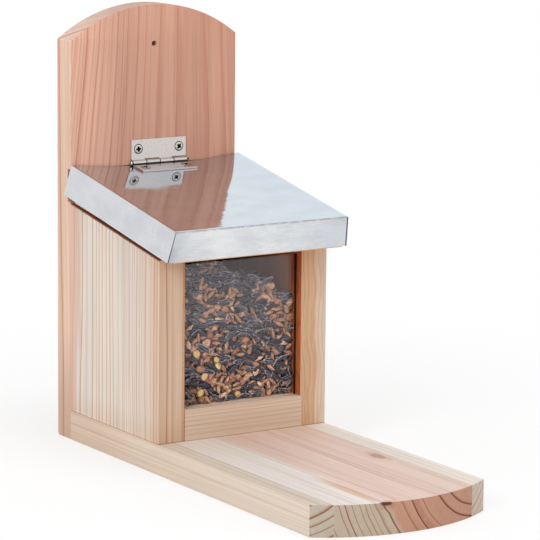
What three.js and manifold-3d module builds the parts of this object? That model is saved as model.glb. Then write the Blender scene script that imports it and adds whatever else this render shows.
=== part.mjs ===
// Squirrel feeder box: a back board, a shelf, a box with a window, and a lid on a butt hinge.
// Millimetres. +Z is up, +Y is towards the back board, and +X is to the right seen from the front.
// The origin is the middle of the footprint, on the surface that the feeder stands on.
import * as THREE from "three";
import { mergeVertices } from "three/addons/utils/BufferGeometryUtils.js";
import Module from "manifold-3d";

const wasm = await Module();
wasm.setup();

// Boards
const feederWidth = 116;
const backThickness = 16.5;
const shelfThickness = 18;
const sideThickness = 18;
const railThickness = 18;
const lidThickness = 18.4;

// Back board
const shoulderHeight = 243.5;
const crownRise = 20;
const hangingHoleDiameter = 3.4;
const hangingHoleBelowCrown = 23.8;
const backGrooveHeight = 20.5;
const backGrooveDepth = 4;

// Shelf
const shelfReach = 267;
const shelfBow = 18;
const leftStaveWidth = 11.4;
const rightStaveWidth = 13.7;
const glueLine = 0.06;

// Box under the lid
const boxDepth = 105;
const sideRearHeight = 127.8;
const sideSlopeDegrees = 10.1;
const railHeight = 18.7;
const railHousing = 1.5;

// Window pane in its grooves
const paneThickness = 2;
const paneSetback = 5.5;
const paneInSide = 3.5;
const paneInRail = 3;
const paneBelowSideTop = 6.3;
const paneClearance = 0.3;

// Lid board under its folded sheet
const foldSlopeDegrees = 10.6;
const lidSideGap = 0.65;
const lidBackGap = 3;
const lidOffset = 1.2;
const sheetThickness = 0.6;
const sheetSideRoom = 0.5;
const sheetLength = 125.3;
const sheetBackGap = 1.1;
const flangeDepth = 18.3;
const flangeSplay = { left: 3.5, right: 1.1 };
const sheetDip = 3.2;
const dipMargin = 2;
const seatGap = 0.3;

// Butt hinge
const hingeOffset = 2.9;
const leafWidth = 38.4;
const leafReach = 14;
const leafThickness = 0.9;
const barrelRadius = 1.6;
const pinRadius = 0.75;
const pinClearance = 0.05;
const pinHeadRadius = 1.25;
const pinHeadLength = 1.1;
const pinOverhang = 1.4;
const knuckleGap = 0.25;
const hingeScrewFromEdge = 4.9;
const hingeScrewFromPin = 8.2;

// Screws
const hingeScrew = { length: 12, shank: 1.4, head: 2.6, cone: 1.4, point: 3, slot: 0.75, depth: 0.9 };
const woodScrew = { length: 35, shank: 2, head: 4, cone: 2.6, point: 5, slot: 1.2, depth: 1.8 };
const slotReachShare = 0.62;
const screwClearance = 0.3;
const screwSink = 0.5;
const backScrewLow = 28;
const backScrewHigh = 98;
const backScrewInSide = 9;
const backScrewInShelf = 28;
const shelfScrewInSide = 7;
const shelfScrewRear = 25;
const shelfScrewFront = 80;
const railScrewFromEnd = 20;
const railScrewFromRear = 6;

// One overrun carries every cut through the face that it opens
const cutOverrun = 2;

// Facets
const arcSteps = 28;
const boreSides = 16;
const barrelSides = 20;
const knuckleCount = 4;
const dipRows = 6;

// Places that follow from the sizes
const sideSlope = THREE.MathUtils.degToRad(sideSlopeDegrees);
const foldSlope = THREE.MathUtils.degToRad(foldSlopeDegrees);
const boardTilt = Math.atan2(sheetDip, sheetLength);
const boardSlope = foldSlope - boardTilt;
const depth = backThickness + shelfReach + shelfBow;
const rearY = depth / 2;
const faceY = rearY - backThickness;
const boxFrontY = faceY - boxDepth;
const outerX = feederWidth / 2;
const innerX = outerX - sideThickness;
const sideRearTop = shelfThickness + sideRearHeight;
const railTop = shelfThickness + railHeight;
const crownHeight = shoulderHeight + crownRise;
const paneFrontY = boxFrontY + paneSetback;
const paneRearY = paneFrontY + paneThickness;
const lidUnder = sheetThickness + seatGap + lidThickness;
const foldX = outerX + sheetSideRoom + sheetThickness;
const padBackGap = sheetBackGap - sheetDip * Math.sin(foldSlope);
const padRearY = faceY - padBackGap;
const lidUnderAtFace = sideRearTop + lidSideGap / Math.cos(boardSlope);
const padRearZ = lidUnderAtFace + lidUnder / Math.cos(boardSlope) - padBackGap * Math.tan(boardSlope);
const pinAboveSheet = barrelRadius + seatGap;
const pinY = faceY - barrelRadius;
const pinAlongLid = (pinY - padRearY + pinAboveSheet * Math.sin(boardSlope)) / Math.cos(boardSlope);
const pinZ = padRearZ + pinAlongLid * Math.sin(boardSlope) + pinAboveSheet * Math.cos(boardSlope);

// Height of the side panels' sloping top, or of its line drawn on into the back board, at a place along Y
function sideTopAt(y) {
  return sideRearTop - (faceY - y) * Math.tan(sideSlope);
}

// Finishes
function finish(color, roughness, metalness = 0) {
  return new THREE.MeshStandardMaterial({ color, roughness, metalness });
}
const backWood = finish(0xcd9b82, 0.7);
const shelfWood = finish(0xded2c6, 0.7);
const heartWood = finish(0xd9b5a4, 0.7);
const sideWood = finish(0xd9c4ae, 0.7);
const railWood = finish(0xc8aa91, 0.7);
const lidWood = finish(0xe0c4a4, 0.7);
const sheetMetal = finish(0xd6dade, 0.2, 1);
const hingeMetal = finish(0xcdc6c3, 0.25, 1);
const screwMetal = finish(0xc8c4be, 0.3, 1);
const pane = finish(0xdfe6ea, 0.05);
pane.transparent = true;
pane.opacity = 0.3;

// Solid from a closed three.js geometry
function solid(geometry) {
  const plain = geometry.clone();
  plain.deleteAttribute("normal");
  plain.deleteAttribute("uv");
  const merged = mergeVertices(plain);
  return new wasm.Manifold(
    new wasm.Mesh({
      numProp: 3,
      vertProperties: merged.attributes.position.array,
      triVerts: new Uint32Array(merged.index.array),
    }),
  );
}

// Named mesh from a solid
function piece(name, body, material) {
  const mesh = body.getMesh();
  const geometry = new THREE.BufferGeometry();
  geometry.setAttribute("position", new THREE.BufferAttribute(mesh.vertProperties, 3));
  geometry.setIndex(new THREE.BufferAttribute(mesh.triVerts, 1));
  geometry.computeVertexNormals();
  const made = new THREE.Mesh(geometry, material);
  made.name = name;
  return made;
}

// Box between two corners
function block(x0, x1, y0, y1, z0, z1) {
  const geometry = new THREE.BoxGeometry(x1 - x0, y1 - y0, z1 - z0);
  geometry.translate((x0 + x1) / 2, (y0 + y1) / 2, (z0 + z1) / 2);
  return solid(geometry);
}

// Six-sided block from its eight corners: four round the bottom, then the four above them
function hexBlock(corners) {
  const geometry = new THREE.BufferGeometry();
  geometry.setAttribute("position", new THREE.Float32BufferAttribute(corners.flat(), 3));
  geometry.setIndex([
    [0, 2, 1], [0, 3, 2], [4, 5, 6], [4, 6, 7],
    [0, 1, 5], [0, 5, 4], [1, 2, 6], [1, 6, 5],
    [2, 3, 7], [2, 7, 6], [3, 0, 4], [3, 4, 7],
  ].flat());
  return solid(geometry);
}

// Round bar from one end to the other along X, Y or Z
function bar(radius, from, to, sides) {
  const start = new THREE.Vector3(...from);
  const way = new THREE.Vector3(...to).sub(start);
  const geometry = new THREE.CylinderGeometry(radius, radius, way.length(), sides);
  geometry.translate(0, way.length() / 2, 0);
  const turn = new THREE.Quaternion().setFromUnitVectors(new THREE.Vector3(0, 1, 0), way.normalize());
  geometry.applyQuaternion(turn);
  geometry.translate(...from);
  return solid(geometry);
}

// Prism of an outline drawn in Y and Z, between two places on X
function sidePrism(outline, x0, x1) {
  const shape = new THREE.Shape(outline.map(([y, z]) => new THREE.Vector2(y, z)));
  const geometry = new THREE.ExtrudeGeometry(shape, { depth: x1 - x0, bevelEnabled: false });
  const turn = new THREE.Matrix4().makeBasis(
    new THREE.Vector3(0, 1, 0),
    new THREE.Vector3(0, 0, 1),
    new THREE.Vector3(1, 0, 0),
  );
  geometry.applyMatrix4(turn);
  geometry.translate(x0, 0, 0);
  return solid(geometry);
}

// Outline of a board whose far end is a shallow arc: straight sides up to reach, then rise more in the middle
function bowedOutline(reach, rise) {
  const radius = (outerX * outerX + rise * rise) / (2 * rise);
  const half = Math.asin(outerX / radius);
  const shape = new THREE.Shape();
  shape.moveTo(-outerX, 0);
  shape.lineTo(outerX, 0);
  shape.lineTo(outerX, reach);
  shape.absarc(0, reach + rise - radius, radius, Math.PI / 2 - half, Math.PI / 2 + half, false);
  shape.closePath();
  return shape;
}

// Countersunk screw along -Z with its head's top at the origin, grown on every side where it is a cutter
function screwBody(size, grow, above) {
  const profile = [
    [0, -size.length - grow],
    [size.shank + grow, size.point - size.length],
    [size.shank + grow, -size.cone],
    [size.head + grow, 0],
  ];
  if (above > 0) profile.push([size.head + grow, above]);
  profile.push([0, above]);
  const geometry = new THREE.LatheGeometry(profile.map(([r, z]) => new THREE.Vector2(r, z)), boreSides);
  geometry.rotateX(Math.PI / 2);
  return solid(geometry);
}

// The screw itself, with the cross in its head
function screwWithCross(size) {
  const arm = size.head * slotReachShare;
  const half = size.slot / 2;
  const across = block(-arm, arm, -half, half, -size.depth, cutOverrun);
  const upright = block(-half, half, -arm, arm, -size.depth, cutOverrun);
  return screwBody(size, 0, 0).subtract(across.add(upright));
}

// Where each screw goes: its head's place, and how it is turned from pointing down
const quarterTurnDegrees = 90;
const tipRearward = [quarterTurnDegrees, 0, 0];
const tipUp = [2 * quarterTurnDegrees, 0, 0];
const tipForward = [-quarterTurnDegrees, 0, 0];
const tipDown = [0, 0, 0];

function placed(body, at, turn) {
  return body.rotate(turn).translate(at);
}

function screwCut(size, at, turn) {
  return placed(screwBody(size, screwClearance, cutOverrun), at, turn);
}

const sides = { left: -1, right: 1 };
const backScrews = {};
const shelfScrews = {};
for (const [side, sign] of Object.entries(sides)) {
  const sideX = sign * (outerX - backScrewInSide);
  const headY = rearY - screwSink;
  backScrews["back_screw_side_low_" + side] = [sideX, headY, shelfThickness + backScrewLow];
  backScrews["back_screw_side_high_" + side] = [sideX, headY, shelfThickness + backScrewHigh];
  backScrews["back_screw_shelf_" + side] = [sign * (outerX - backScrewInShelf), headY, shelfThickness / 2];
  const shelfX = sign * (outerX - shelfScrewInSide);
  shelfScrews["shelf_screw_side_rear_" + side] = [shelfX, faceY - shelfScrewRear, screwSink];
  shelfScrews["shelf_screw_side_front_" + side] = [shelfX, faceY - shelfScrewFront, screwSink];
  const railScrewY = boxFrontY + railThickness - railScrewFromRear;
  shelfScrews["shelf_screw_rail_" + side] = [sign * (innerX - railScrewFromEnd), railScrewY, screwSink];
}

// Cuts every wood screw's hole that reaches into a board
function drilled(body) {
  let made = body;
  for (const at of Object.values(backScrews)) made = made.subtract(screwCut(woodScrew, at, tipForward));
  for (const at of Object.values(shelfScrews)) made = made.subtract(screwCut(woodScrew, at, tipUp));
  return made;
}

// Hinge screws, by the leaf that each holds: places along the hinge and out from the pin
const hingeScrewX = {
  left: hingeOffset - leafWidth / 2 + hingeScrewFromEdge,
  right: hingeOffset + leafWidth / 2 - hingeScrewFromEdge,
};

function backBoard() {
  const geometry = new THREE.ExtrudeGeometry(bowedOutline(shoulderHeight, crownRise), {
    depth: backThickness,
    bevelEnabled: false,
    curveSegments: arcSteps,
  });
  geometry.rotateX(Math.PI / 2);
  geometry.translate(0, rearY, 0);
  const grooveTop = sideRearTop + backGrooveHeight;
  const grooveOutline = [
    [faceY - cutOverrun, sideTopAt(faceY - cutOverrun)],
    [faceY + backGrooveDepth, sideTopAt(faceY + backGrooveDepth)],
    [faceY + backGrooveDepth, grooveTop],
    [faceY - cutOverrun, grooveTop],
  ];
  const groove = sidePrism(grooveOutline, -outerX - cutOverrun, outerX + cutOverrun);
  const holeZ = crownHeight - hangingHoleBelowCrown;
  const hole = bar(
    hangingHoleDiameter / 2,
    [0, faceY - cutOverrun, holeZ],
    [0, rearY + cutOverrun, holeZ],
    boreSides,
  );
  let body = drilled(solid(geometry)).subtract(groove).subtract(hole);
  for (const x of Object.values(hingeScrewX)) {
    const at = [x, faceY - leafThickness, pinZ + hingeScrewFromPin];
    body = body.subtract(screwCut(hingeScrew, at, tipRearward));
  }
  return body;
}

function shelf() {
  const geometry = new THREE.ExtrudeGeometry(bowedOutline(shelfReach, shelfBow), {
    depth: shelfThickness,
    bevelEnabled: false,
    curveSegments: arcSteps,
  });
  geometry.rotateZ(Math.PI);
  geometry.translate(0, faceY, 0);
  return drilled(solid(geometry));
}

// One glued stave of the shelf, between two places on X
const leftJointX = leftStaveWidth - outerX;
const rightJointX = outerX - rightStaveWidth;

function stave(x0, x1) {
  const strip = block(x0, x1, -depth, depth, -cutOverrun, shelfThickness + cutOverrun);
  return shelf().intersect(strip);
}

function sidePanel(sign) {
  const outline = [
    [faceY, shelfThickness],
    [faceY, sideRearTop],
    [boxFrontY, sideTopAt(boxFrontY)],
    [boxFrontY, shelfThickness],
  ];
  const x0 = Math.min(sign * outerX, sign * innerX);
  const body = sidePrism(outline, x0, x0 + sideThickness);
  const cutX = [sign * (innerX - cutOverrun), sign * (innerX + paneInSide + paneClearance)];
  const groove = block(
    Math.min(...cutX), Math.max(...cutX),
    paneFrontY - paneClearance, paneRearY + paneClearance,
    shelfThickness - cutOverrun, sideRearTop,
  );
  return drilled(body).subtract(groove);
}

// The right panel is housed out a little for the end of the rail
function sidePanelRight() {
  const housing = block(
    innerX - cutOverrun, innerX + railHousing,
    boxFrontY - cutOverrun, boxFrontY + railThickness,
    shelfThickness - cutOverrun, railTop,
  );
  return sidePanel(sides.right).subtract(housing);
}

function frontRail() {
  const body = block(
    -innerX, innerX + railHousing,
    boxFrontY, boxFrontY + railThickness,
    shelfThickness, railTop,
  );
  const groove = block(
    -innerX - cutOverrun, outerX,
    paneFrontY - paneClearance, paneRearY + paneClearance,
    railTop - paneInRail - paneClearance, railTop + cutOverrun,
  );
  return drilled(body).subtract(groove);
}

function windowPane() {
  return block(
    -innerX - paneInSide, innerX + paneInSide,
    paneFrontY, paneRearY,
    railTop - paneInRail, sideTopAt(paneFrontY) - paneBelowSideTop,
  );
}

// The lid's own axes lie on the sheet where the hinge presses it flat onto the board. The origin is on the
// sheet's rear edge, -Y runs down the board's slope and Z stands square to it.
const leafLeft = hingeOffset - leafWidth / 2;
const leafRight = hingeOffset + leafWidth / 2;
const lidScrewY = pinAlongLid - hingeScrewFromPin;
const lidScrewZ = seatGap + leafThickness;

function cutLidScrews(body) {
  let made = body;
  for (const x of Object.values(hingeScrewX)) {
    made = made.subtract(screwCut(hingeScrew, [x, lidScrewY, lidScrewZ], tipDown));
  }
  return made;
}

// The board's rear end is cut upright, parallel to the back board, and its front end is square
function lidBoard() {
  const top = lidThickness - lidUnder;
  const room = sheetLength - sheetThickness - seatGap;
  const front = flangeDepth * Math.sin(boardTilt) - room * Math.cos(boardTilt);
  const rearAt = (z) => (padBackGap - lidBackGap + z * Math.sin(boardSlope)) / Math.cos(boardSlope);
  const outline = [
    [front, -lidUnder],
    [rearAt(-lidUnder), -lidUnder],
    [rearAt(top), top],
    [front, top],
  ];
  return cutLidScrews(sidePrism(outline, lidOffset - outerX, lidOffset + outerX));
}

// The sheet is drawn on its folds first: the origin is then the rear of the folds, which stand above the pad.
// Its top is drawn down onto the board under the hinge, and less and less towards the sides and the front.
function dippedTop() {
  const columns = [lidOffset - foldX, leafLeft - dipMargin, leafRight + dipMargin, lidOffset + foldX];
  const acrossShares = [0, 1, 1, 0];
  const rows = [];
  const alongShares = [];
  for (let i = 0; i <= dipRows; i += 1) {
    rows.push(-sheetLength * (i / dipRows));
    alongShares.push(1 - i / dipRows);
  }
  const points = [];
  const faces = [];
  for (const under of [0, sheetThickness]) {
    rows.forEach((y, row) => columns.forEach((x, column) => {
      points.push(x, y, -sheetDip * alongShares[row] * acrossShares[column] - under);
    }));
  }
  const wide = columns.length;
  const lower = wide * rows.length;
  const quad = (a, b, c, d) => faces.push(a, b, c, a, c, d);
  for (let row = 0; row + 1 < rows.length; row += 1) {
    for (let column = 0; column + 1 < wide; column += 1) {
      const a = row * wide + column;
      quad(a, a + wide, a + wide + 1, a + 1);
      quad(a + lower, a + lower + 1, a + lower + wide + 1, a + lower + wide);
    }
    const left = row * wide;
    const right = left + wide - 1;
    quad(left, left + lower, left + wide + lower, left + wide);
    quad(right, right + wide, right + wide + lower, right + lower);
  }
  for (let column = 0; column + 1 < wide; column += 1) {
    const front = (rows.length - 1) * wide + column;
    quad(column, column + 1, column + 1 + lower, column + lower);
    quad(front, front + lower, front + 1 + lower, front + 1);
  }
  const geometry = new THREE.BufferGeometry();
  geometry.setAttribute("position", new THREE.Float32BufferAttribute(points, 3));
  geometry.setIndex(faces);
  return solid(geometry);
}

// A side flange hangs from the fold and leans outwards towards its lower edge
function sideFlange(side) {
  const sign = sides[side];
  const xs = (x) => [lidOffset + sign * x, lidOffset + sign * (x - sheetThickness)].sort((a, b) => a - b);
  const [lowLeft, lowRight] = xs(foldX + flangeSplay[side]);
  const [topLeft, topRight] = xs(foldX);
  return hexBlock([
    [lowLeft, -sheetLength, -flangeDepth], [lowRight, -sheetLength, -flangeDepth],
    [lowRight, 0, -flangeDepth], [lowLeft, 0, -flangeDepth],
    [topLeft, -sheetLength, 0], [topRight, -sheetLength, 0],
    [topRight, 0, 0], [topLeft, 0, 0],
  ]);
}

function frontFlange() {
  const topLeft = lidOffset - foldX;
  const topRight = lidOffset + foldX;
  const lowLeft = topLeft - flangeSplay.left;
  const lowRight = topRight + flangeSplay.right;
  const back = sheetThickness - sheetLength;
  return hexBlock([
    [lowLeft, -sheetLength, -flangeDepth], [lowRight, -sheetLength, -flangeDepth],
    [lowRight, back, -flangeDepth], [lowLeft, back, -flangeDepth],
    [topLeft, -sheetLength, 0], [topRight, -sheetLength, 0],
    [topRight, back, 0], [topLeft, back, 0],
  ]);
}

// The finished sheet is laid on the lid's axes
function lidSheet() {
  const folded = dippedTop().add(sideFlange("left")).add(sideFlange("right")).add(frontFlange());
  const laid = folded.translate([0, 0, sheetDip]).rotate([THREE.MathUtils.radToDeg(boardTilt), 0, 0]);
  return cutLidScrews(laid);
}

// One hinge leaf about the pin's axis: the plate stands up from the barrel, with its back at facing times +Y
function hingeLeaf(facing, firstKnuckle) {
  const left = leafLeft;
  const knuckleWidth = leafWidth / knuckleCount;
  const backY = facing * barrelRadius;
  const frontY = facing * (barrelRadius - leafThickness);
  const plateY = [Math.min(backY, frontY), Math.max(backY, frontY)];
  const plateFoot = barrelRadius + knuckleGap;
  let body = block(left, left + leafWidth, ...plateY, plateFoot, leafReach);
  for (let i = firstKnuckle; i < knuckleCount; i += 2) {
    const x0 = left + i * knuckleWidth + knuckleGap / 2;
    const x1 = left + (i + 1) * knuckleWidth - knuckleGap / 2;
    body = body.add(bar(barrelRadius, [x0, 0, 0], [x1, 0, 0], barrelSides));
    body = body.add(block(x0, x1, ...plateY, 0, plateFoot + knuckleGap));
  }
  const bore = bar(
    pinRadius + pinClearance,
    [left - cutOverrun, 0, 0],
    [left + leafWidth + cutOverrun, 0, 0],
    barrelSides,
  );
  body = body.subtract(bore);
  const turn = facing > 0 ? tipRearward : tipForward;
  for (const x of Object.values(hingeScrewX)) {
    const at = [x, frontY, hingeScrewFromPin];
    body = body.subtract(screwCut(hingeScrew, at, turn));
  }
  return body;
}

// Plain pin with a peened head at its left end
function hingePin() {
  const left = leafLeft;
  const right = leafRight;
  const shaft = bar(pinRadius, [left - knuckleGap, 0, 0], [right + pinOverhang, 0, 0], barrelSides);
  const head = bar(pinHeadRadius, [left - pinHeadLength, 0, 0], [left, 0, 0], barrelSides);
  return shaft.add(head);
}

// Assembly
const feeder = new THREE.Group();
feeder.add(piece("back_board", backBoard(), backWood));
feeder.add(piece("shelf_stave_left", stave(-outerX, leftJointX - glueLine / 2), shelfWood));
feeder.add(piece("shelf_stave_middle", stave(leftJointX + glueLine / 2, rightJointX - glueLine / 2), heartWood));
feeder.add(piece("shelf_stave_right", stave(rightJointX + glueLine / 2, outerX), shelfWood));
feeder.add(piece("side_panel_left", sidePanel(sides.left), sideWood));
feeder.add(piece("side_panel_right", sidePanelRight(), sideWood));
feeder.add(piece("front_rail", frontRail(), railWood));
feeder.add(piece("window_pane", windowPane(), pane));
for (const [name, at] of Object.entries(backScrews)) {
  feeder.add(piece(name, placed(screwWithCross(woodScrew), at, tipForward), screwMetal));
}
for (const [name, at] of Object.entries(shelfScrews)) {
  feeder.add(piece(name, placed(screwWithCross(woodScrew), at, tipUp), screwMetal));
}

// Upper half of the hinge, fixed to the back board
const fixedHinge = new THREE.Group();
fixedHinge.position.set(0, pinY, pinZ);
fixedHinge.add(piece("hinge_leaf_upper", hingeLeaf(1, 0), hingeMetal));
fixedHinge.add(piece("hinge_pin", hingePin(), hingeMetal));
for (const [side, x] of Object.entries(hingeScrewX)) {
  const at = [x, barrelRadius - leafThickness, hingeScrewFromPin];
  const body = placed(screwWithCross(hingeScrew), at, tipRearward);
  fixedHinge.add(piece("hinge_screw_upper_" + side, body, screwMetal));
}
feeder.add(fixedHinge);

// Lid, turned to its board's slope
const lid = new THREE.Group();
lid.rotation.x = boardSlope;
lid.position.set(0, padRearY, padRearZ);
lid.add(piece("lid_board", lidBoard(), lidWood));
lid.add(piece("lid_sheet", lidSheet(), sheetMetal));
const movingLeaf = new THREE.Group();
movingLeaf.rotation.x = Math.PI / 2;
movingLeaf.position.set(0, pinAlongLid, pinAboveSheet);
movingLeaf.add(piece("hinge_leaf_lower", hingeLeaf(-1, 1), hingeMetal));
lid.add(movingLeaf);
for (const [side, x] of Object.entries(hingeScrewX)) {
  const body = placed(screwWithCross(hingeScrew), [x, lidScrewY, lidScrewZ], tipDown);
  lid.add(piece("hinge_screw_lower_" + side, body, screwMetal));
}
feeder.add(lid);

export default feeder;
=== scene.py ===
# %% [markdown]
# # Squirrel feeder box
# A tall back board carries a shelf, a small box with a window, and a lid clad in folded sheet metal.
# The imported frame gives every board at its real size. This lesson rounds the edges of the boards, folds
# the sheet, curls the hinge, fills the box with feed, and gives each surface a finish made of nodes.

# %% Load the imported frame
import math
import random

import bmesh
import bpy
import numpy as np
from mathutils import Euler, Matrix, Vector, noise


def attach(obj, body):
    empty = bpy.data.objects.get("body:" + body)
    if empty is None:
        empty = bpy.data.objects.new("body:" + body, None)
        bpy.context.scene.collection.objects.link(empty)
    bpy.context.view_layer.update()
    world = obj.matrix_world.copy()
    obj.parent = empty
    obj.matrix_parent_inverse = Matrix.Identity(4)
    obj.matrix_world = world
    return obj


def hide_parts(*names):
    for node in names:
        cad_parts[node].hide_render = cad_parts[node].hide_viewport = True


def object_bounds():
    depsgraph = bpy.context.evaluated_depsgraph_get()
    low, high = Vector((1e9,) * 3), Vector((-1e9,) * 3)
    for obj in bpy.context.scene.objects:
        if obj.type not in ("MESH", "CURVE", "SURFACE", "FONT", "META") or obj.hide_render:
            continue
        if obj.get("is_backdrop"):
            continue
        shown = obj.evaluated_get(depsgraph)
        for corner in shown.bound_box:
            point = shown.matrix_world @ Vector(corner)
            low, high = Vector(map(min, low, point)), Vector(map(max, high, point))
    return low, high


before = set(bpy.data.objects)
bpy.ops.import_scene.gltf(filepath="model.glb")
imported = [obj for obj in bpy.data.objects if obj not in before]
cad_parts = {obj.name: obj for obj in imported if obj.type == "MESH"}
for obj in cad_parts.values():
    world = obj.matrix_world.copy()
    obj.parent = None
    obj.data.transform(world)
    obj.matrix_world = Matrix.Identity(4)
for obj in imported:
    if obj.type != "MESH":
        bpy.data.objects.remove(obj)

MM = 0.001
cad_low, cad_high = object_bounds()
scene = bpy.context.scene
scene.view_settings.view_transform = "Standard"
print("the frame is", [round((b - a) / MM, 1) for a, b in zip(cad_low, cad_high)], "mm")

# %% [markdown]
# ## Working as by hand
# Blender's operators act on what is selected, and the frame arrives with all its nodes selected.
# Small helpers keep that in order: one takes a single piece, one opens it for editing, and one selects the
# faces or edges that pass a test of their place or direction.


# %% Take, edit and pick
def clear():
    if bpy.context.mode != "OBJECT":
        bpy.ops.object.mode_set(mode="OBJECT")
    bpy.ops.object.select_all(action="DESELECT")


def take(piece):
    clear()
    bpy.context.view_layer.objects.active = piece
    piece.select_set(True)


def edit(piece, kind="FACE", selected=False):
    take(piece)
    bpy.ops.object.mode_set(mode="EDIT")
    pick_kind(kind, selected)


def pick_kind(kind, selected=False):
    bpy.ops.mesh.select_mode(type=kind)
    bpy.ops.mesh.select_all(action="SELECT" if selected else "DESELECT")


def pick(piece, kind, test):
    shape = bmesh.from_edit_mesh(piece.data)
    parts = getattr(shape, kind)
    parts.ensure_lookup_table()
    chosen = [part for part in parts if test(part)]
    for part in chosen:
        part.select_set(True)
    shape.select_flush_mode()
    bmesh.update_edit_mesh(piece.data)
    return len(chosen)


def done():
    bpy.ops.object.mode_set(mode="OBJECT")


# %% [markdown]
# The next helpers make a basic shape, place, turn and size it for good, extrude and scale what is selected,
# apply a modifier, smooth the shading, and say which body a finished piece rides on. Painted shade for
# hollows and dark bands is written down face by face, for a finish to read.


# %% Make, place, extrude and ride
def add(name, data):
    made = bpy.data.objects.new(name, data)
    scene.collection.objects.link(made)
    return made


def primitive(name, kind, **values):
    clear()
    getattr(bpy.ops.mesh, "primitive_" + kind + "_add")(**values)
    piece = bpy.context.active_object
    piece.name = piece.data.name = name
    return piece


def put(piece, place, turn=(0, 0, 0), size=(1, 1, 1)):
    piece.location, piece.rotation_euler, piece.scale = place, turn, size
    take(piece)
    bpy.ops.object.transform_apply(location=True, rotation=True, scale=True)


def extrude(x, y, z):
    bpy.ops.mesh.extrude_region_move(TRANSFORM_OT_translate={"value": (x, y, z)})


def resize(x, y, z):
    bpy.ops.transform.resize(value=(x, y, z))


def apply_modifier(piece, name, kind, **values):
    take(piece)
    modifier = piece.modifiers.new(name, kind)
    for key, value in values.items():
        setattr(modifier, key, value)
    bpy.ops.object.modifier_apply(modifier=modifier.name)


def cut_away(piece, cutter, name):
    apply_modifier(piece, name, "BOOLEAN", operation="DIFFERENCE", object=cutter, solver="EXACT")
    bpy.data.objects.remove(cutter)


def smooth(piece, degrees):
    take(piece)
    bpy.ops.object.shade_smooth_by_angle(angle=math.radians(degrees))


def write(mesh, name, kind, domain, values):
    key = "vector" if kind == "FLOAT_VECTOR" else "value"
    mesh.attributes.new(name, kind, domain).data.foreach_set(key, values)


# Painted shade: a value per face that says how dark a finish paints it
def write_painted_shade(piece, painted_shade_of):
    write(piece.data, "painted_shade", "FLOAT", "FACE", [float(painted_shade_of(face)) for face in piece.data.polygons])


def dress(piece, material):
    piece.data.materials.clear()
    piece.data.materials.append(material)


def ride_as(piece, body, nodes, material):
    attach(piece, body)
    if nodes:
        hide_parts(*nodes)
    dress(piece, material)


# %% [markdown]
# ## Camera
# The feeder stands turned to the left, and the camera looks at it from a little above with a long lens.
# Four numbers set the view: how far it is turned, tilted and rolled, and the focal length.

# %% Camera
TURNED, TILTED, ROLLED = (math.radians(value) for value in (-32.39, 10.15, 0.54))
FOCAL_LENGTH, SENSOR_WIDTH = 209.34, 36
CAMERA_PLACE = (-0.9571, -1.50805, 0.4407)
back = Vector((math.sin(TURNED) * math.cos(TILTED), -math.cos(TURNED) * math.cos(TILTED), math.sin(TILTED)))
level = (-back).cross(Vector((0, 0, 1))).normalized()
upright = level.cross(-back)
across = level * math.cos(ROLLED) + upright * math.sin(ROLLED)
upward = upright * math.cos(ROLLED) - level * math.sin(ROLLED)

lens = bpy.data.cameras.new("Camera")
lens.sensor_width = SENSOR_WIDTH
lens.lens = FOCAL_LENGTH
lens.clip_start, lens.clip_end = 0.1, 20
camera = add("Camera", lens)
aimed = Matrix((across, upward, back)).transposed().to_4x4()
camera.matrix_world = Matrix.Translation(CAMERA_PLACE) @ aimed
scene.camera = camera
print("camera", [round(value, 3) for value in camera.location])

# %% [markdown]
# ## Nodes as sums
# Lamps and finishes are worked out by nodes. A wire is what one socket carries, and wires are added and
# multiplied like numbers: each step makes the Math node that works it out, or the Vector Math node where a
# place or a colour takes part. So a long chain of nodes reads as one line of arithmetic.


# %% Wires
class Wire:
    def __init__(self, socket):
        self.socket = socket
        self.tree = socket.id_data
        self.wide = socket.type in ("VECTOR", "RGBA")

    def __add__(self, other):
        return maths("ADD", self, other)

    def __radd__(self, other):
        return maths("ADD", other, self)

    def __sub__(self, other):
        return maths("SUBTRACT", self, other)

    def __rsub__(self, other):
        return maths("SUBTRACT", other, self)

    def __mul__(self, other):
        return maths("MULTIPLY", self, other)

    def __rmul__(self, other):
        return maths("MULTIPLY", other, self)

    def __truediv__(self, other):
        return maths("DIVIDE", self, other)

    def __abs__(self):
        return maths("ABSOLUTE", self)


def plug(made, sockets):
    for key, value in sockets.items():
        if isinstance(value, Wire):
            value.tree.links.new(value.socket, made.inputs[key])
        else:
            made.inputs[key].default_value = value


def node(tree, kind, sockets=None, **settings):
    made = tree.nodes.new(kind if kind.startswith("NodeGroup") else "ShaderNode" + kind)
    for key, value in settings.items():
        setattr(made, key, value)
    plug(made, sockets or {})
    wires = [(socket.name, Wire(socket)) for socket in made.outputs]
    return dict(wires) | dict(enumerate(wire for _, wire in wires))


def tree_of(*values):
    return next(value.tree for value in values if isinstance(value, Wire))


def is_wide(value):
    return value.wide if isinstance(value, Wire) else isinstance(value, tuple)


def maths(operation, first, second=0.0, clamp=False):
    tree = tree_of(first, second)
    if not is_wide(first) and not is_wide(second):
        return node(tree, "Math", {0: first, 1: second}, operation=operation, use_clamp=clamp)[0]
    if operation == "MULTIPLY" and not is_wide(second):
        return node(tree, "VectorMath", {0: first, "Scale": second}, operation="SCALE")[0]
    return node(tree, "VectorMath", {0: first, 1: second}, operation=operation)[0]


# %% [markdown]
# A few more steps come up in every finish: the greater of two values, a soft rise from one value to another,
# a mix of two colours or numbers, the parts and the length of a vector, noise as fine or as drawn out as is
# asked for, and a bump. Colours are given as they look on a screen and are turned into linear light.


# %% Steps that every finish uses
def greater(first, second):
    return maths("MAXIMUM", first, second)


def rise(value, start, end, low=0.0, high=1.0):
    sockets = {"Value": value, "From Min": start, "From Max": end, "To Min": low, "To Max": high}
    return node(value.tree, "MapRange", sockets, interpolation_type="SMOOTHSTEP")[0]


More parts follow.
